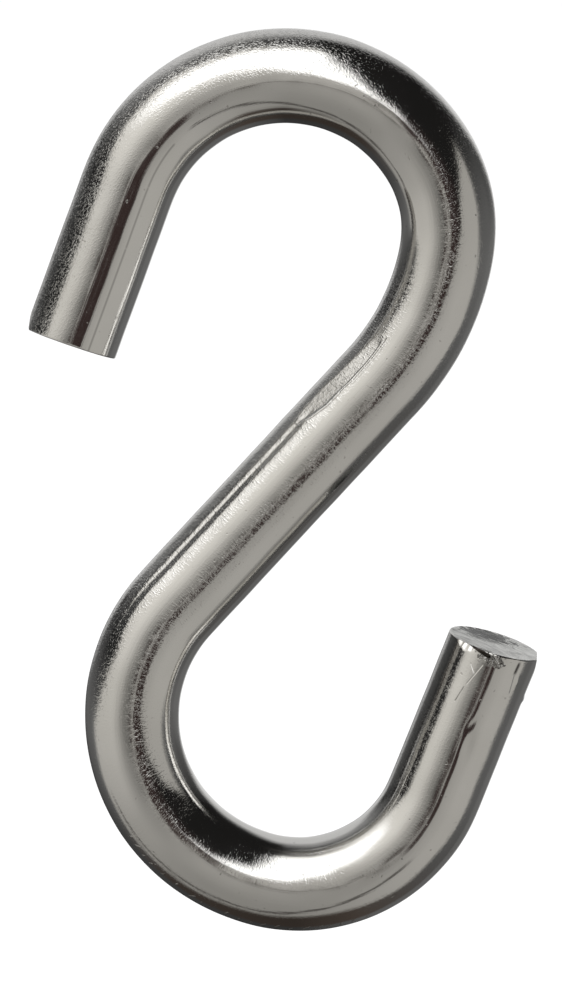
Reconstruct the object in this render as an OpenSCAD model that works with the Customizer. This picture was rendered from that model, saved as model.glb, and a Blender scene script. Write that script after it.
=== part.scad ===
// S hook bent from one length of round steel wire.
// It is worked out from the middle of its shank, and stands upright as it hangs:
// the inside of the upper bend, where a rail or a ring bears, is the origin,
// and the inside of the lower bend, where the load hangs, is straight below it.

/* [Wire] */
// Diameter of the wire
wire_d = 5; // [4:0.5:6]

/* [Shank] */
// Straight length between the two bends
shank_l = 16.1; // [13:0.1:22]

/* [Upper bend] */
// Centreline radius of the easy stretch that leaves the shank
upper_lead_r = 13.5; // [10:0.1:16]
// Degrees turned in that stretch
upper_lead_turn = 33; // [25:0.5:40]
// Centreline radius of the tighter stretch after it
upper_tight_r = 7.3; // [6:0.1:9]
// Degrees turned in that stretch
upper_tight_turn = 38; // [30:0.5:45]
// Centreline radius over the crown, down to the free leg
upper_crown_r = 8.8; // [7:0.1:10]
// Degrees turned over the crown
upper_crown_turn = 131.5; // [120:0.5:135]
// Straight length of the upper free leg, to the middle of its cut end
upper_leg_l = 9; // [5:0.1:10]

/* [Lower bend] */
// Centreline radius of the stretch that leaves the shank
lower_lead_r = 9; // [7:0.1:11]
// Degrees turned in that stretch
lower_lead_turn = 96.5; // [85:0.5:105]
// Centreline radius of the stretch after it
lower_middle_r = 9.6; // [7:0.1:11]
// Degrees turned in that stretch
lower_middle_turn = 22; // [15:0.5:30]
// Centreline radius under the crown, up to the free leg
lower_crown_r = 7.7; // [7:0.1:10]
// Degrees turned under the crown
lower_crown_turn = 82.5; // [75:0.5:90]
// Straight length of the lower free leg, to the middle of its cut end
lower_leg_l = 8.7; // [5:0.1:10]

/* [Sheared ends] */
// Slant of the upper end in the plane of the hook, in degrees
upper_slant = 1; // [0:0.5:10]
// Lean of the upper end towards the front, in degrees
upper_lean = 4; // [0:0.5:10]
// Slant of the lower end in the plane of the hook, in degrees
lower_slant = 4.5; // [0:0.5:10]
// Lean of the lower end towards the front, in degrees
lower_lean = 5; // [0:0.5:10]
// How far the edge that the shear rolled over reaches along the wire
roll_l = 0.8; // [0.3:0.1:1.5]
// How deep the rolled edge is
roll_h = 0.15; // [0.05:0.05:0.3]

/* [Tool mark] */
// Depth of the flat that the bending tool pressed into the shank
mark_h = 0.13; // [0.05:0.01:0.2]
// Radius of the tool's face, which sets the length of the flat
mark_r = 30; // [20:1:40]
// Distance from the deepest point of the flat to the upper bend
mark_back = 1.8; // [0.5:0.1:4]
// Where the flat sits round the wire, in degrees from the front towards the eye
mark_turn = 43; // [30:1:60]

/* [Hidden] */
$fn = 96;
wire_r = wire_d / 2;

// The wire is drawn in stretches. Every other one is a hair thinner, and the full ones
// lap over its ends, so that all of them fuse into one solid.
hair = 0.01;
lap = 0.1;

// Each bend is a list of [centreline radius, degrees turned], from the shank to the leg.
upper_bend = [
    [upper_lead_r, upper_lead_turn],
    [upper_tight_r, upper_tight_turn],
    [upper_crown_r, upper_crown_turn]
];
lower_bend = [
    [lower_lead_r, lower_lead_turn],
    [lower_middle_r, lower_middle_turn],
    [lower_crown_r, lower_crown_turn]
];

// A place on the centreline is [x, y, heading]; every arc turns left of its heading.
function arc_centre(p, r) = [p[0] - r * sin(p[2]), p[1] + r * cos(p[2])];
function after_arc(p, r, turn) =
    let (c = arc_centre(p, r), h = p[2] + turn)
    [c[0] + r * sin(h), c[1] - r * cos(h), h];
// Centre of the last arc of a bend, which is the one over or under the crown.
function crown_centre(arcs, i = 0, p = [shank_l / 2, 0, 0]) =
    i == len(arcs) - 1
        ? arc_centre(p, arcs[i][0])
        : crown_centre(arcs, i + 1, after_arc(p, arcs[i][0], arcs[i][1]));

// Both are measured from the middle of the shank, and the lower bend is turned half round there.
upper_centre = crown_centre(upper_bend);
lower_centre = -crown_centre(lower_bend);
plumb = upper_centre - lower_centre;
hang_turn = 90 - atan2(plumb[1], plumb[0]);

// A straight length that begins a lap early.
module straight(length) {
    translate([-lap, 0, 0]) rotate([0, 90, 0]) cylinder(h = length + lap, r = wire_r);
}

// An arc, with a lap at each end if it is a full stretch.
module arc(r, turn, full) {
    extra = full ? asin(lap / r) : 0;
    translate([0, r, 0]) rotate([0, 0, -90 - extra])
        rotate_extrude(angle = turn + 2 * extra)
        translate([r, 0]) circle(r = full ? wire_r : wire_r - hair);
}

// Draws the arcs one after the other, with the children at the end of the last one.
module arcs_then(arcs, i = 0) {
    if (i < len(arcs)) {
        r = arcs[i][0];
        turn = arcs[i][1];
        arc(r, turn, i % 2 == 1);
        translate([0, r, 0]) rotate([0, 0, turn]) translate([0, -r, 0])
            arcs_then(arcs, i + 1) children();
    } else {
        children();
    }
}

// Everything beyond the sheared face, whose middle is at the origin.
module beyond_shear(slant, lean) {
    rotate([0, -lean, slant]) translate([0, -wire_d, -wire_d]) cube(2 * wire_d);
}

// What the shear rolled off the outer side of the end, which is on the right of the leg.
module beyond_rolled_edge() {
    translate([-roll_l, -wire_r, 0]) rotate([0, 0, atan2(roll_h, roll_l)])
        translate([0, -2 * wire_d, -wire_d]) cube(2 * wire_d);
}

// A straight leg with its sheared end.
module free_leg(length, slant, lean) {
    difference() {
        straight(length + wire_d);
        translate([length, 0, 0]) {
            beyond_shear(slant, lean);
            beyond_rolled_edge();
        }
    }
}

// The straight middle, lapping both bends.
module shank() {
    translate([-shank_l / 2, 0, 0]) straight(shank_l + lap);
}

// One bend with the children at its far end, from the end of the shank.
module bend(arcs) {
    translate([shank_l / 2, 0, 0]) arcs_then(arcs) children();
}

// The nose of the bending tool where it bears on the flank of the shank: a shallow spherical cap.
// The sphere lies on its side, so that its poles are away from the wire.
module tool_mark() {
    translate([shank_l / 2 - mark_back, 0, 0]) rotate([-mark_turn, 0, 0])
        translate([0, 0, wire_r - mark_h]) intersection() {
            translate([0, 0, mark_r]) rotate([0, -90, 0]) sphere(r = mark_r);
            cylinder(h = wire_r, r = wire_d);
        }
}

// The hook is drawn flat with its front up, hung plumb, and stood up.
module hook() {
    color("silver")
        rotate([90, 0, 0]) translate([0, wire_r - upper_crown_r, 0])
        rotate([0, 0, hang_turn]) translate([-upper_centre[0], -upper_centre[1], 0])
        difference() {
            union() {
                shank();
                bend(upper_bend) free_leg(upper_leg_l, upper_slant, upper_lean);
                rotate([0, 0, 180]) bend(lower_bend) free_leg(lower_leg_l, lower_slant, lower_lean);
            }
            tool_mark();
        }
}

hook();
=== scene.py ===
"""S hook bent from one length of bright plated steel wire, hanging above a pale studio floor.

The frame is the CAD frame: metres, X to the right, Z up, the front of the hook towards -Y,
and the origin where the upper bend bears. Lengths on the wire are written in millimetres.
"""

import math

import bpy
import numpy as np
from mathutils import Matrix, Vector

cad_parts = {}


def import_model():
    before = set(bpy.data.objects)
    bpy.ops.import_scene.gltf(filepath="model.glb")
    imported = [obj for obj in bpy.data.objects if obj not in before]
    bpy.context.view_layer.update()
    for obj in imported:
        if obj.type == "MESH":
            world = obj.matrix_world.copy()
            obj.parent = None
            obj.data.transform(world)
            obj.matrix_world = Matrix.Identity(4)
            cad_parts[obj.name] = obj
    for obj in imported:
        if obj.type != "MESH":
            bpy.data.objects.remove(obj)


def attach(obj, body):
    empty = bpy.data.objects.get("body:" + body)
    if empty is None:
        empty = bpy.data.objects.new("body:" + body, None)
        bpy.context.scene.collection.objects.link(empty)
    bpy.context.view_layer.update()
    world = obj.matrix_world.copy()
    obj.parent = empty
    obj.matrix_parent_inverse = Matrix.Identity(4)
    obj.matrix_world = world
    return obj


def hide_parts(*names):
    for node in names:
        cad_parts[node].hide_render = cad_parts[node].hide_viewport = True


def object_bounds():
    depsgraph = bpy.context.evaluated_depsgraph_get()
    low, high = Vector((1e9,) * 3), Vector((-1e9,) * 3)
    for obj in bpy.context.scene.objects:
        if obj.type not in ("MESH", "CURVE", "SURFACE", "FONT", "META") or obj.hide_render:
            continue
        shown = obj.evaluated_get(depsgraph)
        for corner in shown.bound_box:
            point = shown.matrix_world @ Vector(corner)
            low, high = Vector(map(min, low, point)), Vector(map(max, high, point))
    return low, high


MM = 0.001

# The wire, as the CAD model bends it: centreline radius in mm and degrees turned.
WIRE_R = 2.5
SHANK_L = 16.1
UPPER_BEND = [(13.5, 33.0), (7.3, 38.0), (8.8, 131.5)]
LOWER_BEND = [(9.0, 96.5), (9.6, 22.0), (7.7, 82.5)]
UPPER_LEG_L = 9.0
LOWER_LEG_L = 8.7
# The real wire eases from one curvature to the next over about this length.
EASE_L = 1.6

# The sheared ends: slant in the plane of the hook and lean towards the front, in degrees.
UPPER_SLANT, UPPER_LEAN = 1.0, 4.0
LOWER_SLANT, LOWER_LEAN = 4.5, 5.0
# The shear rolls the outer edge over: how far along the wire and how deep.
ROLL_L, ROLL_H = 0.8, 0.15
# Rounding of the sharp edge round each sheared face.
RIM_R = 0.07
# Length of wire over which the rings tilt into the plane of the sheared face.
TILT_L = 3.0
# The rings near each end move in over this length, to make room for the rounded rim.
PULL_L = 0.6
# Steps round the rim, as shares of a quarter turn, and rings from the rim to the middle.
RIM_STEPS = (0.35, 0.7, 1.0)
FACE_STEPS = 22

# Marks are placed in mm along the wire from the upper end and in degrees round it, from the front
# towards the outside of the upper bend. Each row here is a dent: its place, half length, half
# width and depth, and how far it is turned on the surface. A negative depth makes it a bulge.
DENTS = [
    (91.3, -12, 0.9, 0.30, 0.035, 6),
    (92.3, -6, 0.5, 0.18, 0.025, -12),
    (95.3, -43, 0.35, 0.16, -0.030, 10),
    (94.3, -88, 0.16, 0.6, -0.05, 0),
]

# The photograph's view: angles in degrees, the lens and the rest in mm.
VIEW_ELEVATION = 8.0
VIEW_ROLL = 1.615
LENS = 400.0
FRAME_HEIGHT = 52.7
CENTRE_BELOW_SEAT = 19.863
CENTRE_RIGHT_OF_SEAT = -0.053

# The floor, below the hook, and the lamp, in front of it and above.
FLOOR_GAP = 12.0
FLOOR_HALF_M = 3.0
FLOOR_COLOUR = (0.94, 0.94, 0.94, 1)
FLOOR_GLOW = 0.62
LAMP_SIZE_M = (0.45, 0.35)
LAMP_POWER = 3.2
LAMP_AWAY = 0.8


# ---------------------------------------------------------------- the centreline


def bend_length(bend):
    """Length of wire in a bend, in mm."""
    return sum(radius * math.radians(turn) for radius, turn in bend)


def crown_centre(bend):
    """Centre of the last arc of a bend, from the middle of the shank with the wire along +x."""
    x, y, heading = SHANK_L / 2, 0.0, 0.0
    for radius, turn in bend:
        centre = (x - radius * math.sin(heading), y + radius * math.cos(heading))
        heading += math.radians(turn)
        x = centre[0] + radius * math.sin(heading)
        y = centre[1] - radius * math.cos(heading)
    return np.array(centre)


UPPER_L = SHANK_L / 2 + bend_length(UPPER_BEND) + UPPER_LEG_L
LOWER_L = SHANK_L / 2 + bend_length(LOWER_BEND) + LOWER_LEG_L
WIRE_L = UPPER_L + LOWER_L


def curvature_steps():
    """Start, end and curvature of each stretch, along the wire from the upper end."""
    steps = []
    at = UPPER_LEG_L
    for radius, turn in reversed(UPPER_BEND):
        steps.append((at, at + radius * math.radians(turn), -1 / radius))
        at = steps[-1][1]
    at += SHANK_L
    for radius, turn in LOWER_BEND:
        steps.append((at, at + radius * math.radians(turn), 1 / radius))
        at = steps[-1][1]
    return steps


def centreline():
    """Dense samples along the wire: distance, x, z, heading and curvature."""
    fine = 0.01
    margin = 2.0
    along = np.arange(-margin, WIRE_L + margin, fine)
    curvature = np.zeros_like(along)
    for start, end, value in curvature_steps():
        curvature[(along >= start) & (along < end)] = value
    box = np.ones(int(EASE_L / 2 / fine) | 1)
    box /= box.sum()
    curvature = np.convolve(np.convolve(curvature, box, "same"), box, "same")
    upper = crown_centre(UPPER_BEND)
    plumb = upper + crown_centre(LOWER_BEND)
    hang = math.pi / 2 - math.atan2(plumb[1], plumb[0])
    turn = np.array([[math.cos(hang), -math.sin(hang)], [math.sin(hang), math.cos(hang)]])
    middle = np.array([0.0, WIRE_R - UPPER_BEND[-1][0]]) - turn @ upper
    heading = np.cumsum(curvature) * fine
    heading += hang + math.pi - np.interp(UPPER_L, along, heading)
    x = np.cumsum(np.cos(heading)) * fine
    z = np.cumsum(np.sin(heading)) * fine
    x += middle[0] - np.interp(UPPER_L, along, x)
    z += middle[1] - np.interp(UPPER_L, along, z)
    return along, x, z, heading, curvature


# ---------------------------------------------------------------- the surface of the wire


def spaced(ranges):
    """Places at the given steps: a list of (start, end, step), without the last end."""
    out = []
    for start, end, step in ranges:
        count = max(1, round((end - start) / step))
        out.extend(start + (end - start) * k / count for k in range(count))
    return np.array(out)


def smooth(x, low, high):
    """Smooth change from 0 to 1 as x goes from low to high, which may be the smaller one."""
    x = np.clip((x - low) / (high - low), 0, 1)
    return x * x * (3 - 2 * x)


def gauss(x):
    """A bell curve of height 1."""
    return np.exp(-x * x)


def soft_min(a, b, width):
    """The smaller of the two, rounded over where they meet."""
    h = np.clip(0.5 + 0.5 * (b - a) / width, 0, 1)
    return b * (1 - h) + a * h - width * h * (1 - h)


def dent(s, t, at, turn, length, width, depth, skew):
    """Depth of a dent; skew turns it on the surface, in degrees."""
    along = s - at
    across = np.radians(t - turn) * WIRE_R
    c, k = math.cos(math.radians(skew)), math.sin(math.radians(skew))
    u = (along * c + across * k) / length
    v = (across * c - along * k) / width
    return depth * gauss(np.hypot(u, v))


def chip(s, t, at, turn, depth, tilt):
    """Radius left by a flat cut; tilt leans it along the wire, so that it deepens towards the end."""
    b = math.radians(tilt)
    reach = (WIRE_R - depth) - (s - at) * math.tan(b)
    across = np.clip(np.cos(np.radians(t - turn)), 0.2, 1)
    return reach / across


def tool_flat(s, t):
    """Radius left by the bending tool on the eye side of the shank, its lip, and where it bore."""
    # the outline of the mark: where it is along the wire, and its front and rear borders
    places = [39.3, 40.2, 41.2, 42.2, 43.0, 43.8, 44.6, 45.5, 46.1, 46.4]
    front = [-42.0, -37.0, -36.5, -36.0, -36.0, -37.5, -38.0, -43.0, -48.0, -54.0]
    rear = [-43.0, -50.0, -54.0, -57.0, -59.0, -61.0, -62.0, -62.0, -60.0, -55.0]
    front = np.interp(s, places, front)
    rear = np.interp(s, places, rear)
    middle, half = (front + rear) / 2, (front - rear) / 2
    inside = (s > places[0]) & (s < places[-1])
    half = np.where(inside, half, 0.0)
    chord = WIRE_R * np.cos(np.radians(half)) / np.cos(np.radians(np.clip(t - middle, -60, 60)))
    across = (t - middle) / np.maximum(half, 1.0)
    # it leans towards the front and meets the front border in a small step
    hollow = np.clip((across + 1) / 2, 0, 1) * smooth(across, 1.02, 0.86)
    chord -= 0.080 * hollow * smooth(half, 2, 9)
    chord = np.where(half > 0.5, chord, WIRE_R * 2)
    lip = 0.016 * gauss((t - front - 2.0) / 2.2) * smooth(half, 2, 8)
    return chord, lip, smooth(half - np.abs(t - middle), 0.0, 2.0) * inside


def wire_surface(s, t):
    """Radius and wear of the wire's skin at distance s and angle t from the front.

    t grows towards the outside of the upper bend, which is the inside of the lower bend.
    """
    radius = np.full_like(s, WIRE_R)
    # rolling and bending leave long, very shallow waves
    radius += 0.006 * np.sin(s * 0.9 + 1.3 * np.sin(s * 0.31)) * np.sin(np.radians(t * 2 + s * 9))
    radius += 0.004 * np.sin(s * 2.3 + 0.7) * np.sin(np.radians(t * 3) + s * 0.4)

    chord, lip, bearing = tool_flat(s, t)
    radius = soft_min(radius, chord, 0.015) + lip
    wear = bearing

    # a groove runs on from the mark; the fronts of the upper leg and the shank are a little
    # flattened, and the front of the lower leg is a little raised
    radius -= 0.060 * gauss((t + 49) / 5.0) * smooth(s, 44.5, 47.5) * smooth(s, 63.0, 56.0)
    radius -= 0.020 * gauss((t + 3.5) / 7.0) * smooth(s, 13.0, 8.0)
    radius -= 0.012 * gauss((t - 0.5) / 6.0) * smooth(s, 31.0, 35.0) * smooth(s, 52.0, 46.0)
    radius += 0.011 * gauss((t + 6.0) / 5.0) * smooth(s, 82.0, 87.0)
    # the dents on the lower leg, the flake and the nick near its end, and the chip under its rim
    for mark in DENTS:
        radius -= dent(s, t, *mark)
    ragged = 0.05 * np.sin(t * 0.7) + 0.03 * np.sin(t * 1.9 + 1.0)
    cut = chip(s + ragged, t, WIRE_L - 0.36, 37, 0.0, 15)
    radius = soft_min(radius, np.where(s > WIRE_L - 1.2, cut, 9.0), 0.006)
    return radius, wear


def grain_strength(s, t):
    """How coarse the skin is: most outside the upper bend, next outside the lower, least inside."""
    outside_upper = (0.55 * smooth(t, 0, 16) + 0.85 * smooth(t, 30, 52)) * smooth(s, 33.0, 26.0)
    outside_upper *= 1 - 0.5 * smooth(s, 18.0, 24.0)
    outside_right = 0.40 * smooth(t, 36, 48) * smooth(s, 24.0, 29.0) * smooth(s, 48.0, 40.0)
    lower_leg = 0.22 * smooth(t, 34, 46) * smooth(s, 80.0, 86.0)
    shank = (0.10 + 0.50 * gauss((t - 4) / 13)) * smooth(s, 26.0, 32.0) * smooth(s, 74.0, 64.0)
    inside_lower = 0.22 * smooth(t, -4, 12) * smooth(s, 58.0, 70.0)
    outside_lower = 0.25 + 0.85 * smooth(s, 66.0, 60.0)
    outside_lower *= smooth(t, -22, -36) * smooth(s, 32.0, 38.0)
    total = outside_upper + outside_right + shank + inside_lower + outside_lower + lower_leg
    return np.clip(total, 0.05, 1.6)


def rolled(s, t, radius):
    """The outer edge of each end, rolled over by the shear."""
    for from_end, side in ((s, 1.0), (WIRE_L - s, -1.0)):
        reach = np.clip(1 - from_end / ROLL_L, -1, 1)
        keep = WIRE_R - ROLL_H * reach
        across = np.clip(np.sin(np.radians(t)) * side, 0.05, 1)
        radius = soft_min(radius, np.where(reach > -1, keep / across, 9.0), 0.03)
    return radius


def around_wire():
    """Angles round the wire: closest where the tool bore, furthest apart at the back."""
    return spaced([(-90, -66, 2.4), (-66, -30, 1.1), (-30, 50, 2.0), (50, 90, 2.5), (90, 270, 4.5)])


def along_wire():
    """Distances along the wire, closest at its marks and ends."""
    inner = spaced([
        (0.0, 1.2, 0.06), (1.2, 38.6, 0.2), (38.6, 47.0, 0.08), (47.0, 89.4, 0.2),
        (89.4, WIRE_L - 1.4, 0.09), (WIRE_L - 1.4, WIRE_L, 0.05),
    ])
    return np.append(inner, WIRE_L)


def value_noise(points, scale, seed):
    """Smooth noise between -1 and 1, the same each run."""
    p = points * scale
    cell = np.floor(p).astype(np.int64)
    f = p - cell
    f = f * f * (3 - 2 * f)
    total = np.zeros(len(p))
    for corner in range(2 ** p.shape[1]):
        bits = [(corner >> k) & 1 for k in range(p.shape[1])]
        mixed = np.full(len(p), seed * 7919, np.int64)
        weight = np.ones(len(p))
        for k, bit in enumerate(bits):
            mixed = (mixed * 31 + (cell[:, k] + bit) * 73856093) & 0x7FFFFFFF
            weight *= f[:, k] if bit else 1 - f[:, k]
        mixed = (mixed ^ (mixed >> 13)) * 1274126177 & 0x7FFFFFFF
        mixed = (mixed ^ (mixed >> 16)) & 0xFFFF
        total += weight * (mixed / 32767.5 - 1)
    return total


def place(s, y, front, line):
    """Points of the frame, in metres, from distance along the wire and offsets across it."""
    along, x, z, heading, _ = line
    cx, cz = np.interp(s, along, x), np.interp(s, along, z)
    h = np.interp(s, along, heading)
    return np.stack([cx - np.sin(h) * y, -front, cz + np.cos(h) * y], -1) * MM


def end_offset(y, front, lower):
    """How far the sheared plane lies beyond the end of the centreline, towards the lower end."""
    if lower:
        return -(y * math.tan(math.radians(LOWER_SLANT)) + front * math.tan(math.radians(LOWER_LEAN)))
    return -y * math.tan(math.radians(UPPER_SLANT)) + front * math.tan(math.radians(UPPER_LEAN))


def skin_rings(stations, turns):
    """Rings of the wire's round skin, each as five rows: place along, across and in front of the
    centreline, wear, and 1 where it is a sheared face."""
    s, t = np.meshgrid(stations, turns, indexing="ij")
    radius, wear = wire_surface(s, t)
    radius = rolled(s, t, radius)
    across, front = radius * np.sin(np.radians(t)), radius * np.cos(np.radians(t))
    tilt = smooth(TILT_L - s, 0, TILT_L) * end_offset(across, front, False)
    tilt += smooth(s - (WIRE_L - TILT_L), 0, TILT_L) * end_offset(across, front, True)
    near = np.minimum(s, WIRE_L - s)
    pull = RIM_R * smooth(1 - near / PULL_L, 0, 1) * np.where(s < WIRE_L / 2, 1.0, -1.0)
    return list(zip(s + tilt + pull, across, front, wear, np.zeros_like(s)))


def torn_face(y, front, lower):
    """Height of the sheared metal over its plane: ridged where it was cut, torn beyond."""
    seed = 5 if lower else 9
    p = np.stack([y, front], -1)
    coarse = value_noise(p, 1.3, seed) * 0.025
    fine = value_noise(p * np.array([1.0, 2.6]), 3.0, seed + 1) * 0.012
    finer = value_noise(p * np.array([1.0, 2.2]), 7.0, seed + 2) * 0.005
    return coarse + fine + finer - 0.02


def face_rings(skin_end, lower):
    """Rings from the skin's last one over the rounded rim to the middle of a sheared face."""
    across, front = skin_end[1], skin_end[2]
    outward = 1.0 if lower else -1.0
    end = WIRE_L if lower else 0.0
    steps = []
    for part in RIM_STEPS:
        angle = part * math.pi / 2
        shrink = 1 - RIM_R * (1 - math.cos(angle)) / np.hypot(across, front)
        steps.append((shrink, RIM_R * (math.sin(angle) - 1), float(part == 1)))
    inner = 1 - RIM_R / WIRE_R
    for k in range(1, FACE_STEPS):
        steps.append((inner * (1 - k / FACE_STEPS), 0.0, 1.0))
    rings = []
    for shrink, lift, cut in steps:
        y, f = across * shrink, front * shrink
        along = end + end_offset(y, f, lower) + outward * lift
        if cut:
            off_rim = smooth(1 - np.hypot(y, f) / WIRE_R, 0.0, 0.08)
            along = along + outward * torn_face(y, f, lower) * off_rim
        rings.append((along, y, f, np.zeros_like(y), np.full_like(y, cut)))
    return rings


def closed_mesh(rings):
    """One closed mesh through all the rings, with a point in the middle of each end.

    Its attributes say where each point lies on the straightened wire, and how it is finished.
    """
    along, across, front, wear, cut = (np.array(values) for values in zip(*rings))
    count, around = along.shape
    line = centreline()
    tips = np.array([along[0].mean(), along[-1].mean()])
    points = place(along, across, front, line).reshape(-1, 3)
    vertices = np.vstack([points, place(tips, np.zeros(2), np.zeros(2), line)])

    ring, at = np.meshgrid(np.arange(count - 1), np.arange(around), indexing="ij")
    here, beside = ring * around + at, ring * around + (at + 1) % around
    quads = np.stack([here, here + around, beside + around, beside], -1).reshape(-1, 4)
    upper_tip, lower_tip = len(points), len(points) + 1
    last = (count - 1) * around
    upper_fan = [(upper_tip, k, (k + 1) % around) for k in range(around)]
    lower_fan = [(lower_tip, last + (k + 1) % around, last + k) for k in range(around)]
    mesh = bpy.data.meshes.new("wire")
    mesh.from_pydata(vertices.tolist(), [], quads.tolist() + upper_fan + lower_fan)
    mesh.validate()
    mesh.update()

    straight = np.stack([along, across, front], -1).reshape(-1, 3)
    straight = np.vstack([straight, [[tip, 0, 0] for tip in tips]])
    attribute = mesh.attributes.new("straight", "FLOAT_VECTOR", "POINT")
    attribute.data.foreach_set("vector", straight.astype(np.float32).ravel())
    grain = grain_strength(along, np.degrees(np.arctan2(across, front)))
    for name, values, at_tips in (("wear", wear, 0.0), ("cut_face", cut, 1.0), ("grain", grain, 0.0)):
        attribute = mesh.attributes.new(name, "FLOAT", "POINT")
        values = np.append(values.ravel(), [at_tips, at_tips])
        attribute.data.foreach_set("value", values.astype(np.float32))
    mesh.shade_smooth()
    return mesh


def make_hook():
    """The whole skin of the wire, from the middle of one sheared face to the middle of the other."""
    skin = skin_rings(along_wire(), around_wire())
    upper_face = face_rings(skin[0], False)
    lower_face = face_rings(skin[-1], True)
    mesh = closed_mesh(upper_face[::-1] + skin + lower_face)
    hook = bpy.data.objects.new("bent_wire_hook", mesh)
    bpy.context.scene.collection.objects.link(hook)
    return hook


# ---------------------------------------------------------------- nodes


class Graph:
    """Short names for the shader nodes used here; a value may be a number or a socket."""

    def __init__(self, tree):
        self.tree = tree
        self.nodes = tree.nodes
        self.nodes.clear()

    def new(self, kind, **settings):
        node = self.nodes.new("ShaderNode" + kind)
        for name, value in settings.items():
            setattr(node, name, value)
        return node

    def put(self, socket, value):
        if isinstance(value, bpy.types.NodeSocket):
            self.tree.links.new(value, socket)
        else:
            socket.default_value = value

    def math(self, operation, *values):
        """Result of a sum on numbers or sockets."""
        node = self.new("Math", operation=operation)
        for socket, value in zip(node.inputs, values):
            self.put(socket, value)
        return node.outputs[0]

    def total(self, values):
        """Sum of a list of values."""
        out = values[0]
        for value in values[1:]:
            out = self.math("ADD", out, value)
        return out

    def largest(self, values):
        """Largest of a list of values."""
        out = values[0]
        for value in values[1:]:
            out = self.math("MAXIMUM", out, value)
        return out

    def dot(self, vector, constant):
        """How far the vector reaches along a fixed direction."""
        node = self.new("VectorMath", operation="DOT_PRODUCT")
        self.put(node.inputs[0], vector)
        node.inputs[1].default_value = constant
        return node.outputs["Value"]

    def scaled(self, vector, factors):
        """The vector with each of its parts multiplied."""
        node = self.new("VectorMath", operation="MULTIPLY")
        self.put(node.inputs[0], vector)
        node.inputs[1].default_value = factors
        return node.outputs[0]

    def turned(self, vector, *rows):
        """The vector seen along three other directions; a longer row packs its noise closer."""
        node = self.new("CombineXYZ")
        for socket, row in zip(node.inputs, rows):
            self.put(socket, self.dot(vector, row))
        return node.outputs[0]

    def step(self, value, low, high, start=0.0, end=1.0):
        """Smooth change from start to end as the value goes from low to high."""
        node = self.new("MapRange", interpolation_type="SMOOTHSTEP")
        for name, number in (("From Min", low), ("From Max", high), ("To Min", start), ("To Max", end)):
            self.put(node.inputs[name], number)
        self.put(node.inputs["Value"], value)
        return node.outputs[0]

    def blend(self, factor, a, b):
        """Colour a where the factor is 0, b where it is 1."""
        node = self.new("Mix", data_type="RGBA")
        self.put(node.inputs[0], factor)
        self.put(node.inputs[6], a)
        self.put(node.inputs[7], b)
        return node.outputs[2]

    def between(self, factor, a, b):
        """Number a where the factor is 0, b where it is 1."""
        node = self.new("Mix", data_type="FLOAT")
        self.put(node.inputs[0], factor)
        self.put(node.inputs[2], a)
        self.put(node.inputs[3], b)
        return node.outputs[0]

    def ramp(self, factor, stops):
        """Colour by a number from 0 to 1, through (place, colour) stops."""
        node = self.new("ValToRGB")
        elements = node.color_ramp.elements
        elements[0].position, elements[0].color = stops[0]
        elements[1].position, elements[1].color = stops[-1]
        for position, color in stops[1:-1]:
            elements.new(position).color = color
        self.put(node.inputs[0], factor)
        return node.outputs[0]

    def noise(self, vector, scale, detail, roughness=0.5):
        """Smooth random values round 0.5."""
        node = self.new("TexNoise")
        self.put(node.inputs["Vector"], vector)
        node.inputs["Scale"].default_value = scale
        node.inputs["Detail"].default_value = detail
        node.inputs["Roughness"].default_value = roughness
        return node.outputs[0]

    def bump(self, height, unit):
        """Normal of a surface with this relief, whose heights are in the given unit."""
        node = self.new("Bump")
        self.put(node.inputs["Height"], height)
        node.inputs["Distance"].default_value = unit
        node.inputs["Strength"].default_value = 1.0
        return node.outputs[0]

    def attribute(self, name, output="Fac"):
        """One of the mesh's own values."""
        node = self.new("Attribute", attribute_type="GEOMETRY", attribute_name=name)
        return node.outputs[output]


def grey(value, red=1.0, green=1.0, blue=1.0):
    """A colour of this brightness, tinted by the shares of red, green and blue."""
    return (value * red, value * green, value * blue, 1.0)


# ---------------------------------------------------------------- the plated wire

# Heights of the relief in mm; what is below the skin is negative.
STROKE_H, SPECK_H = 0.0070, 0.0045
LINE_H, PIT_H, BRUSHED_H, TORN_H, TICK_H = 0.006, -0.006, 0.006, 0.07, 0.012
CREASE_H, LIP_H, OUTLINE_H, SCRATCH_H, CRUMB_H = -0.018, 0.008, -0.014, -0.014, 0.11

# Colours of the plating where it is dulled most and least, in its pits, and under dirt and painted
# shade.
PLATING_DULL = (0.705, 0.695, 0.67, 1)
PLATING_CLEAN = (0.735, 0.725, 0.705, 1)
PIT_COLOUR = (0.30, 0.28, 0.26, 1)
# This dark colour also serves for the painted shade under the lower rim and the painted dark reflection
# on the upper leg.
DIRT_AND_PAINTED_SHADE_COLOUR = (0.035, 0.030, 0.026, 1)
FACE_TINT = (1.0, 1.0, 0.97)

# What each finish adds to the roughness.
WORN_ROUGH, FACE_ROUGH, TICK_ROUGH = 0.10, 0.24, 0.40


def on_skin(place):
    """A place given as (mm along the wire, degrees round it), as mm both ways."""
    return place[0], math.radians(place[1]) * WIRE_R


def stroke(g, skin, start, end, half_width):
    """1 along a straight stroke from start to end, falling to 0 beside it."""
    (x0, y0), (x1, y1) = on_skin(start), on_skin(end)
    length = math.hypot(x1 - x0, y1 - y0)
    c, k = (x1 - x0) / length, (y1 - y0) / length
    along = g.math("SUBTRACT", g.dot(skin, (c, k, 0.0)), (x0 + x1) / 2 * c + (y0 + y1) / 2 * k)
    beside = g.math("SUBTRACT", g.dot(skin, (-k, c, 0.0)), y0 * c - x0 * k)
    ends = g.step(g.math("ABSOLUTE", along), length / 2 + half_width, length / 2 - half_width)
    return g.math("MULTIPLY", ends, g.step(g.math("ABSOLUTE", beside), half_width, 0.0))


def strokes_along(g, skin, places, half_width):
    """Strokes that join a row of places."""
    return g.largest([stroke(g, skin, a, b, half_width) for a, b in zip(places, places[1:])])


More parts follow.
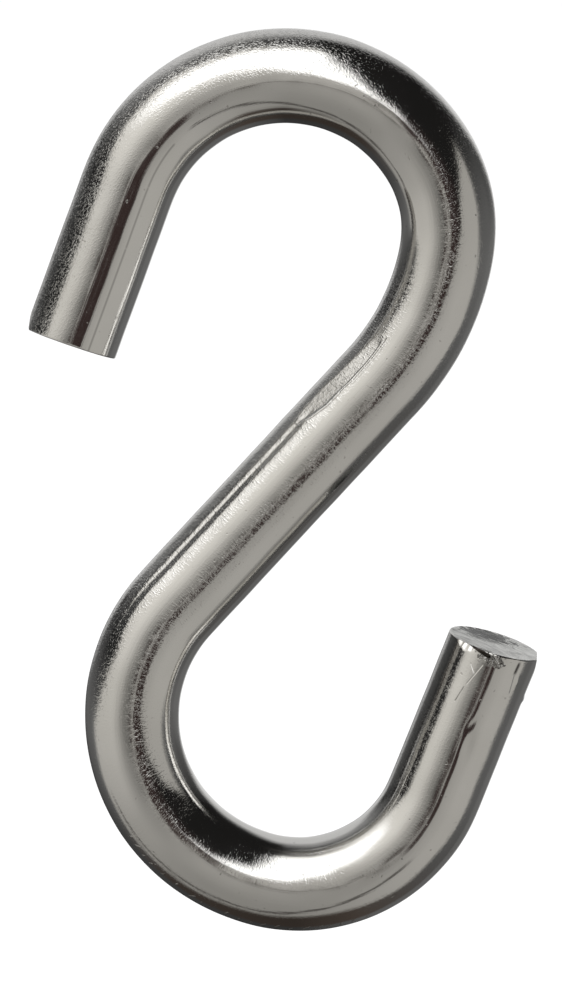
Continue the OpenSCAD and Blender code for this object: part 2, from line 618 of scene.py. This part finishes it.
def patch(g, vector, at, size, ragged, raggedness):
    """1 in a ragged patch round a place, 0 beyond it."""
    node = g.new("VectorMath", operation="SUBTRACT")
    g.put(node.inputs[0], vector)
    node.inputs[1].default_value = at
    scaled = g.scaled(node.outputs[0], tuple(1 / v if v else 0.0 for v in size))
    length = g.new("VectorMath", operation="LENGTH")
    g.put(length.inputs[0], scaled)
    uneven = g.math("MULTIPLY", g.math("SUBTRACT", ragged, 0.5), raggedness * 2)
    return g.step(g.math("ADD", length.outputs["Value"], uneven), 1.15, 0.85)


def grain_height(g, straight):
    """Fine grain, in mm: short strokes nearly along the wire above, across it below, and specks."""
    upper_way = g.turned(straight, (6.0, -2.0, 2.0), (4.8, 13.5, 0.0), (-4.8, 0.0, 13.5))
    lower_way = g.turned(straight, (12.0, 1.0, 1.0), (0.0, 3.4, 0.0), (0.0, 0.0, 3.4))
    lower_half = g.step(g.dot(straight, (1.0, 0.0, 0.0)), 26.0, 33.0)
    strokes = g.between(lower_half, g.noise(upper_way, 1.0, 1.0), g.noise(lower_way, 1.0, 1.0))
    strokes = g.step(strokes, 0.50, 0.80)
    specks = g.step(g.noise(straight, 11.0, 1.0), 0.54, 0.68)
    return g.math("ADD", g.math("MULTIPLY", strokes, STROKE_H), g.math("MULTIPLY", specks, SPECK_H))


def mark_heights(g, skin, fine):
    """Heights of the single marks: the tool's crease and its lip, scratches and crumbs."""
    crease = strokes_along(g, skin, [(39.6, -35), (41.2, -34.5), (42.7, -34), (43.7, -36)], 0.075)
    lip = strokes_along(g, skin, [(39.9, -31.8), (41.2, -31.2), (42.8, -30.8)], 0.04)
    outline = strokes_along(
        g, skin, [(43.6, -34.5), (44.6, -34.5), (45.6, -40), (46.45, -49), (46.5, -56)], 0.05)
    scratches = g.largest([
        stroke(g, skin, (95.55, 8.5), (94.3, 18), 0.05),
        stroke(g, skin, (95.4, 23), (94.9, 13), 0.05),
        stroke(g, skin, (94.1, 20), (93.2, 24), 0.035),
        stroke(g, skin, (96.3, -35.5), (95.6, -34.5), 0.10),
        stroke(g, skin, (95.6, -35), (94.6, -38), 0.045),
    ])
    crumbs = patch(g, skin, (*on_skin((95.95, 0)), 0.0), (0.26, 0.62, 0.0), fine, 1.2)
    crumbs = g.math("MULTIPLY", crumbs, fine)
    return g.total([
        g.math("MULTIPLY", crease, CREASE_H),
        g.math("MULTIPLY", lip, LIP_H),
        g.math("MULTIPLY", outline, OUTLINE_H),
        g.math("MULTIPLY", scratches, SCRATCH_H),
        g.math("MULTIPLY", crumbs, CRUMB_H),
    ])


def tick_marks(g, skin):
    """The row of short ticks across the outside of the lower bend."""
    row = g.math("MULTIPLY", g.dot(skin, (1.0, -0.45, 0.0)), 1 / 0.56)
    shaken = g.math("ADD", row, g.math("MULTIPLY", g.noise(skin, 0.9, 1.0), 1.2))
    off = g.math("ABSOLUTE", g.math("SUBTRACT", g.math("FRACT", shaken), 0.5))
    band = g.step(stroke(g, skin, (69.6, -55), (81.5, -62), 0.34), 0.1, 0.6)
    some = g.step(g.noise(skin, 2.3, 1.0), 0.42, 0.55)
    return g.math("MULTIPLY", g.math("MULTIPLY", g.step(off, 0.13, 0.03), band), some)


def face_tones(g, straight):
    """Brightness of a sheared face: streaks where the shear slid, darker where the metal tore."""
    shear_way = g.turned(straight, (0.0, -1.0, 0.6), (0.0, 3.2, 5.2), (2.0, 0.0, 0.0))
    streaks = g.noise(shear_way, 1.0, 4.0, 0.6)
    tear_way = g.turned(straight, (0.0, -1.6, 1.0), (0.0, 2.4, 4.0), (5.0, 0.0, 0.0))
    torn = g.noise(tear_way, 1.0, 3.0, 0.65)
    dark = patch(g, straight, (WIRE_L, 0.45, -1.40), (0.0, 1.45, 0.90), torn, 1.9)
    tail = patch(g, straight, (WIRE_L, 0.3, -0.4), (0.0, 1.1, 0.35), torn, 2.0)
    near_rim = patch(g, straight, (WIRE_L, 0.85, 2.30), (0.0, 0.75, 0.20), torn, 0.3)
    worn = g.largest([dark, g.math("MULTIPLY", tail, 0.6), near_rim])
    light = g.step(g.dot(straight, (0.0, 1.0, 0.15)), 0.9, -1.6)
    bright = g.math("ADD", g.step(streaks, 0.3, 0.7, 0.50, 0.88), g.math("MULTIPLY", light, 0.16))
    return g.math("MULTIPLY", bright, g.step(worn, 0.0, 1.0, 1.0, 0.18))


def dirt_and_painted_shade_mask(g, skin, fine):
    """Where the colour is darkened: a painted dark reflection along the upper leg, painted shade under
    the lower rim, and dark strokes and dirt crumbs in the marks near it.
    """
    # Painted reflection: a dark line that the metal mirrors, painted into the colour along the upper
    # leg.
    painted_reflection_line = strokes_along(g, skin, [(0.1, -22.5), (6, -22.5), (9.5, -22), (12.5, -19.5)], 0.10)
    # Painted shade: the skin just under the lower rim is darkened to black, covering the rim's
    # highlight.
    painted_shade_under_rim = g.largest([
        stroke(g, skin, (96.42, 52), (96.38, 4), 0.15),
        stroke(g, skin, (96.34, 34), (96.08, 4), 0.17),
    ])
    crumbs = patch(g, skin, (*on_skin((96.0, 1)), 0.0), (0.24, 0.62, 0.0), fine, 2.4)
    return g.largest([
        g.math("MULTIPLY", painted_reflection_line, 0.38),
        g.step(painted_shade_under_rim, 0.05, 0.40),
        g.math("MULTIPLY", stroke(g, skin, (96.3, -35.5), (95.65, -34.5), 0.16), 0.9),
        g.math("MULTIPLY", crumbs, 0.6),
        stroke(g, skin, (94.5, -92), (94.2, -80), 0.12),
    ])


def plated_wire():
    """Bright plating over drawn wire: fine grain, drawn lines, pits, worn marks and sheared ends."""
    material = bpy.data.materials.new("bright_plated_wire")
    material.use_nodes = True
    g = Graph(material.node_tree)
    straight = g.attribute("straight", "Vector")
    wear = g.attribute("wear")
    face = g.attribute("cut_face")
    not_face = g.math("SUBTRACT", 1.0, face)
    # the skin laid flat: mm along the wire and mm round it
    parts = g.new("SeparateXYZ")
    g.put(parts.inputs[0], straight)
    skin = g.new("CombineXYZ")
    g.put(skin.inputs[0], parts.outputs[0])
    turn = g.math("ARCTAN2", parts.outputs[1], parts.outputs[2])
    g.put(skin.inputs[1], g.math("MULTIPLY", turn, WIRE_R))
    skin = skin.outputs[0]

    patches = g.noise(straight, 0.8, 2.0)
    strength = g.math("MULTIPLY", g.attribute("grain"), g.step(patches, 0.25, 0.7, 0.65, 1.2))
    grain = g.math("MULTIPLY", grain_height(g, straight), g.math("MULTIPLY", strength, not_face))
    # lines that the drawing die left along the wire, and a few small pits
    lines = g.noise(g.scaled(straight, (0.10, 3.6, 3.6)), 1.0, 3.0, 0.6)
    pits = g.step(g.noise(straight, 3.1, 1.0), 0.73, 0.82)
    # fine strokes across the tool's mark, and ridges where the shear tore the metal
    brushed = g.math("MULTIPLY", g.noise(g.scaled(straight, (13.0, 1.6, 1.6)), 1.0, 2.0), wear)
    ridge_way = g.turned(straight, (0.0, -2.4, 1.5), (0.0, 4.2, 7.0), (7.0, 0.0, 0.0))
    torn = g.noise(ridge_way, 1.0, 4.0, 0.65)
    fine = g.noise(skin, 3.6, 2.0, 0.6)
    ticks = tick_marks(g, skin)
    height = g.total([
        grain,
        g.math("MULTIPLY", lines, LINE_H),
        g.math("MULTIPLY", pits, PIT_H),
        g.math("MULTIPLY", brushed, BRUSHED_H),
        g.math("MULTIPLY", g.math("MULTIPLY", torn, face), TORN_H),
        g.math("MULTIPLY", mark_heights(g, skin, fine), not_face),
        g.math("MULTIPLY", ticks, TICK_H),
    ])

    stain = g.noise(straight, 0.22, 3.0, 0.6)
    tone = g.blend(g.step(stain, 0.3, 0.75), PLATING_DULL, PLATING_CLEAN)
    tone = g.blend(g.math("MULTIPLY", pits, 0.4), tone, PIT_COLOUR)
    # Darkens the plating with dirt and painted shade: crumbs and dark strokes in the marks, a painted
    # dark reflection along the upper leg and painted shade under the lower rim.
    tone = g.blend(g.math("MULTIPLY", dirt_and_painted_shade_mask(g, skin, fine), not_face), tone, DIRT_AND_PAINTED_SHADE_COLOUR)
    bright = face_tones(g, straight)
    face_tone = g.new("CombineXYZ")
    for socket, share in zip(face_tone.inputs, FACE_TINT):
        g.put(socket, g.math("MULTIPLY", bright, share))
    tone = g.blend(face, tone, face_tone.outputs[0])
    rough = g.total([
        g.step(patches, 0.3, 0.8, 0.08, 0.11),
        g.math("MULTIPLY", wear, WORN_ROUGH),
        g.math("MULTIPLY", face, FACE_ROUGH),
        g.math("MULTIPLY", ticks, TICK_ROUGH),
    ])

    shader = g.new("BsdfPrincipled")
    g.put(shader.inputs["Base Color"], tone)
    shader.inputs["Metallic"].default_value = 1.0
    g.put(shader.inputs["Roughness"], rough)
    g.put(shader.inputs["Normal"], g.bump(height, MM))
    output = g.new("OutputMaterial")
    g.tree.links.new(shader.outputs[0], output.inputs["Surface"])
    return material


# ---------------------------------------------------------------- the studio

ELEVATION = math.radians(VIEW_ELEVATION)
ROLL = math.radians(VIEW_ROLL)


def view_axes(elevation):
    """Right, up and towards the viewer, for a viewer at this elevation with the picture's roll."""
    toward = Vector((0, -math.cos(elevation), math.sin(elevation)))
    level_up = Vector((0, math.sin(elevation), math.cos(elevation)))
    right = Vector((1, 0, 0)) * math.cos(ROLL) - level_up * math.sin(ROLL)
    return right, level_up * math.cos(ROLL) + Vector((1, 0, 0)) * math.sin(ROLL), toward


RIGHT, UP, TOWARD = view_axes(ELEVATION)
# The room is laid out about the direction that a flat front of the hook mirrors to the viewer.
ROOM_RIGHT, ROOM_UP, ROOM_FRONT = view_axes(-ELEVATION)

EDGE_COLOUR = grey(0.045, 1.0, 0.86, 0.80)
FLAG_TIP_COLOUR = grey(0.042, 1.0, 0.66, 0.62)
FLAG_COLOUR = grey(0.013, 1.0, 0.98, 0.95)
BOX_COLOUR = grey(1.9)


def compass(degrees):
    """Place on a ramp that runs once round the front, clockwise from straight down.

    The angle itself is 0 straight up and 90 at the right.
    """
    return (degrees + 180.0) / 360.0


def angles(stops):
    """Stops of a ramp that gives an angle, written in degrees, as a share of 180."""
    return [(compass(place), grey(angle / 180.0)) for place, angle in stops]


def around_front(g, around, stops, seen=grey):
    """Colours by direction round the front: a ramp from (degrees, brightness or colour) pairs."""
    return g.ramp(around, [
        (compass(place), value if isinstance(value, tuple) else seen(value)) for place, value in stops])


def angle_round(g, around, stops):
    """An angle from the front, in degrees, by direction round it."""
    return g.math("MULTIPLY", 180.0, g.ramp(around, angles(stops)))


def warm(value):
    """The tone of the wall in front."""
    return grey(value, 1.0, 0.975, 0.92)


def brown(value):
    """The tone of the dark low in the room."""
    return grey(value, 1.0, 0.80, 0.68)


class Room:
    """Where a direction lies in the room, in degrees.

    x and y run to the right and up from straight in front of the hook, away is the angle from
    there, and round_front goes clockwise from straight up; around is that as a place on a ramp.
    The far side of the room is behind the hook.
    """

    def __init__(self, g):
        direction = g.new("TexCoord").outputs["Generated"]
        toward = g.dot(direction, ROOM_FRONT)
        across, above = g.dot(direction, ROOM_RIGHT), g.dot(direction, ROOM_UP)
        self.away = g.math("DEGREES", g.math("ARCCOSINE", toward))
        self.round_front = g.math("DEGREES", g.math("ARCTAN2", across, above))
        self.around = g.math("DIVIDE", g.math("ADD", self.round_front, 180.0), 360.0)
        squared = g.math("SUBTRACT", 1.0, g.math("MULTIPLY", toward, toward))
        off_axis = g.math("SQRT", g.math("MAXIMUM", squared, 1e-9))
        self.x = g.math("DIVIDE", g.math("MULTIPLY", self.away, across), off_axis)
        self.y = g.math("DIVIDE", g.math("MULTIPLY", self.away, above), off_axis)


def walls(g, at):
    """The wall in front of the hook, the far walls past its edge, and what is beyond them."""
    # dim straight ahead on the left, light beside the soft box
    middle = around_front(g, at.around, [
        (-180, 0.37), (-150, 0.42), (-120, 0.27), (-92, 0.10), (-70, 0.16), (-45, 0.33), (-20, 0.42),
        (10, 0.52), (90, 0.42), (150, 0.32), (180, 0.37)], warm)
    outer = around_front(g, at.around, [
        (-180, 0.31), (-150, 0.31), (-128, 0.40), (-105, 0.56), (-80, 0.68), (-62, 0.84), (-42, 0.92),
        (-10, 0.75), (60, 0.42), (110, 0.50), (140, 0.46), (180, 0.31)], warm)
    front = g.blend(g.step(at.away, 4.0, 54.0), middle, outer)
    side = around_front(g, at.around, [
        (-180, brown(0.040)), (-150, brown(0.050)), (-128, 0.10), (-105, 0.19), (-92, 0.08),
        (-75, 0.014), (-66, 0.06), (-52, 0.11), (-25, 0.09), (-5, 0.06), (15, 0.04), (28, 0.035),
        (45, 0.016), (62, 0.022), (76, 0.075), (92, 0.125), (110, 0.15), (135, 0.105),
        (165, brown(0.070)), (180, brown(0.040))])
    beyond = around_front(g, at.around, [
        (-180, 0.038), (-140, 0.06), (-110, 0.14), (-92, 0.10), (-75, 0.035), (-50, 0.26), (-10, 0.27),
        (28, 0.05), (60, 0.03), (92, 0.10), (110, 0.17), (135, 0.16), (165, 0.12), (180, 0.038)])
    side = g.blend(g.step(at.away, 110.0, 122.0), side, beyond)
    front_ends = angle_round(g, at.around, [
        (-180, 70), (-165, 77), (-150, 90), (-128, 100), (-103, 104), (-88, 82), (-74, 68), (-62, 86),
        (-40, 96), (-25, 92), (60, 80), (75, 76), (95, 76), (118, 88), (135, 76), (150, 79), (165, 69),
        (180, 70)])
    return g.blend(g.step(g.math("SUBTRACT", at.away, front_ends), -6.0, 8.0), front, side)


def dark_edge(g, at):
    """A thin dark edge that winds from the middle of the wall round its lower left."""
    lies_at = angle_round(g, at.around, [
        (-180, 58), (-160, 72), (-143, 82), (-120, 92), (-95, 96), (105, 40), (127, 38), (145, 36),
        (162, 42), (180, 58)])
    off_edge = g.math("ABSOLUTE", g.math("SUBTRACT", at.away, lies_at))
    off_top = g.math("ABSOLUTE", g.math("SUBTRACT", at.round_front, 10.0))
    return g.math("MULTIPLY", g.step(off_edge, 1.2, 4.2, 1.0, 0.0), g.step(off_top, 128.0, 136.0))


def black_flag(g, at):
    """The black flag right of the soft box, whose tip comes down to the middle of the wall."""
    x, y = at.x, at.y
    across_tip = g.math("SUBTRACT", g.math("MULTIPLY", y, 0.797), g.math("MULTIPLY", x, 0.603))
    upward = g.math("MAXIMUM", y, 0.0)
    bulge = g.math("ADD", g.math("MULTIPLY", upward, 0.13), 7.0)
    left_side = g.math("SUBTRACT", x, g.math("MINIMUM", g.math("MULTIPLY", upward, 0.5), bulge))
    flag = g.math("MULTIPLY", g.step(across_tip, -17.5, -13.0), g.step(left_side, -1.0, 3.5))
    flag = g.math("MULTIPLY", flag, g.step(g.math("ADD", y, g.math("MULTIPLY", x, 1.25)), -2.5, 1.5))
    flag = g.math("MULTIPLY", flag, g.step(at.away, 138.0, 116.0))
    off_left = g.math("ABSOLUTE", g.math("ADD", at.round_front, 81.0))
    left_tip = g.math("MULTIPLY", g.step(off_left, 30.0, 16.0), g.step(at.away, 11.0, 5.0))
    return g.math("MAXIMUM", flag, left_tip)


def soft_box(g, at):
    """The bright soft box above the hook."""
    slanting = g.math("ADD", g.math("MULTIPLY", at.x, 0.80), g.math("MULTIPLY", at.y, 0.60))
    near_edge = g.math("MAXIMUM", g.step(slanting, 12.5, 19.0), g.step(at.y, 33.0, 47.0))
    right_side = g.math("SUBTRACT", at.x, g.math("MULTIPLY", at.y, 0.12))
    box = g.math("MULTIPLY", near_edge, g.step(right_side, 14.0, 6.0))
    box = g.math("MULTIPLY", box, g.step(at.round_front, -62.0, -34.0))
    return g.math("MULTIPLY", box, g.step(at.away, 90.0, 76.0))


def table(g, at):
    """The white table behind everything."""
    begins = angle_round(g, at.around, [
        (-180, 160), (-165, 168), (-140, 166), (-118, 157), (-95, 144), (-78, 146), (-60, 140),
        (-40, 126), (15, 126), (40, 135), (70, 135), (88, 143), (105, 150), (125, 151), (142, 149),
        (163, 150), (180, 160)])
    return g.step(g.math("SUBTRACT", at.away, begins), -7.0, 14.0)


def make_world():
    """Plain white for the camera and for soft light, and a room for the metal to mirror.

    The room's tones and borders are set by direction, after those that the hook in the photograph
    mirrors, so the metal shows its bands from the photograph's view.
    """
    world = bpy.data.worlds.new("studio")
    world.use_nodes = True
    bpy.context.scene.world = world
    g = Graph(world.node_tree)
    at = Room(g)
    room = walls(g, at)
    room = g.blend(g.math("MULTIPLY", dark_edge(g, at), 0.85), room, EDGE_COLOUR)
    flag_colour = g.blend(g.step(at.away, 6.0, 40.0), FLAG_TIP_COLOUR, FLAG_COLOUR)
    room = g.blend(black_flag(g, at), room, flag_colour)
    room = g.blend(soft_box(g, at), room, BOX_COLOUR)
    table_colour = around_front(
        g, at.around, [(-180, 1.0), (-130, 0.66), (60, 0.66), (100, 0.85), (180, 1.0)])
    room = g.blend(table(g, at), room, table_colour)

    paths = g.new("LightPath").outputs
    seen = g.math("MAXIMUM", paths["Is Camera Ray"], paths["Is Diffuse Ray"])
    room = g.blend(seen, room, grey(1.0))
    background = g.new("Background")
    g.put(background.inputs["Color"], room)
    background.inputs["Strength"].default_value = 1.0
    output = g.new("OutputWorld")
    g.tree.links.new(background.outputs[0], output.inputs["Surface"])


def make_floor(low):
    """A wide pale floor under the hook, which keeps its soft shadow; the metal doesn't mirror it."""
    mesh = bpy.data.meshes.new("floor")
    height = low - FLOOR_GAP * MM
    sides = [(-1, -1), (1, -1), (1, 1), (-1, 1)]
    corners = [(x * FLOOR_HALF_M, y * FLOOR_HALF_M, height) for x, y in sides]
    mesh.from_pydata(corners, [], [(0, 1, 2, 3)])
    floor = bpy.data.objects.new("floor", mesh)
    bpy.context.scene.collection.objects.link(floor)
    material = bpy.data.materials.new("pale_floor")
    material.use_nodes = True
    g = Graph(material.node_tree)
    diffuse = g.new("BsdfDiffuse")
    diffuse.inputs["Color"].default_value = FLOOR_COLOUR
    glow = g.new("Emission")
    glow.inputs["Color"].default_value = (1, 1, 1, 1)
    glow.inputs["Strength"].default_value = 1.0
    mix = g.new("MixShader")
    seen = g.math("MULTIPLY", g.new("LightPath").outputs["Is Camera Ray"], FLOOR_GLOW)
    g.put(mix.inputs[0], seen)
    g.tree.links.new(diffuse.outputs[0], mix.inputs[1])
    g.tree.links.new(glow.outputs[0], mix.inputs[2])
    output = g.new("OutputMaterial")
    g.tree.links.new(mix.outputs[0], output.inputs["Surface"])
    mesh.materials.append(material)
    floor.visible_glossy = False


def make_lamp(target):
    """One large soft box above and in front; the metal mirrors the one in the world instead."""
    light = bpy.data.lights.new("soft_box", "AREA")
    light.shape = "RECTANGLE"
    light.size, light.size_y = LAMP_SIZE_M
    light.energy = LAMP_POWER
    lamp = bpy.data.objects.new("soft_box", light)
    where = TOWARD * 0.5 + UP * 0.75 - RIGHT * 0.25
    lamp.location = target + where * LAMP_AWAY
    lamp.rotation_euler = (-where).to_track_quat("-Z", "Y").to_euler()
    bpy.context.scene.collection.objects.link(lamp)
    lamp.visible_glossy = False


def make_camera():
    """The photograph's view: slightly from above, turned a little clockwise.

    Returns the point that it looks at.
    """
    data = bpy.data.cameras.new("camera")
    data.lens = LENS
    camera = bpy.data.objects.new("camera", data)
    bpy.context.scene.collection.objects.link(camera)
    target = (RIGHT * CENTRE_RIGHT_OF_SEAT - UP * CENTRE_BELOW_SEAT) * MM
    distance = FRAME_HEIGHT * MM * LENS / data.sensor_width
    data.clip_start, data.clip_end = 0.01, 20.0
    basis = Matrix((RIGHT, UP, TOWARD)).transposed()
    camera.matrix_world = Matrix.Translation(target + TOWARD * distance) @ basis.to_4x4()
    bpy.context.scene.camera = camera
    return target


def main():
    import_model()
    cad_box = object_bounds()
    target = make_camera()
    hook = make_hook()
    hook.data.materials.append(plated_wire())
    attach(hook, "root")
    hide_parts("hook")
    make_floor(cad_box[0][2])
    make_world()
    make_lamp(target)
    bpy.context.scene.view_settings.view_transform = "Standard"


main()
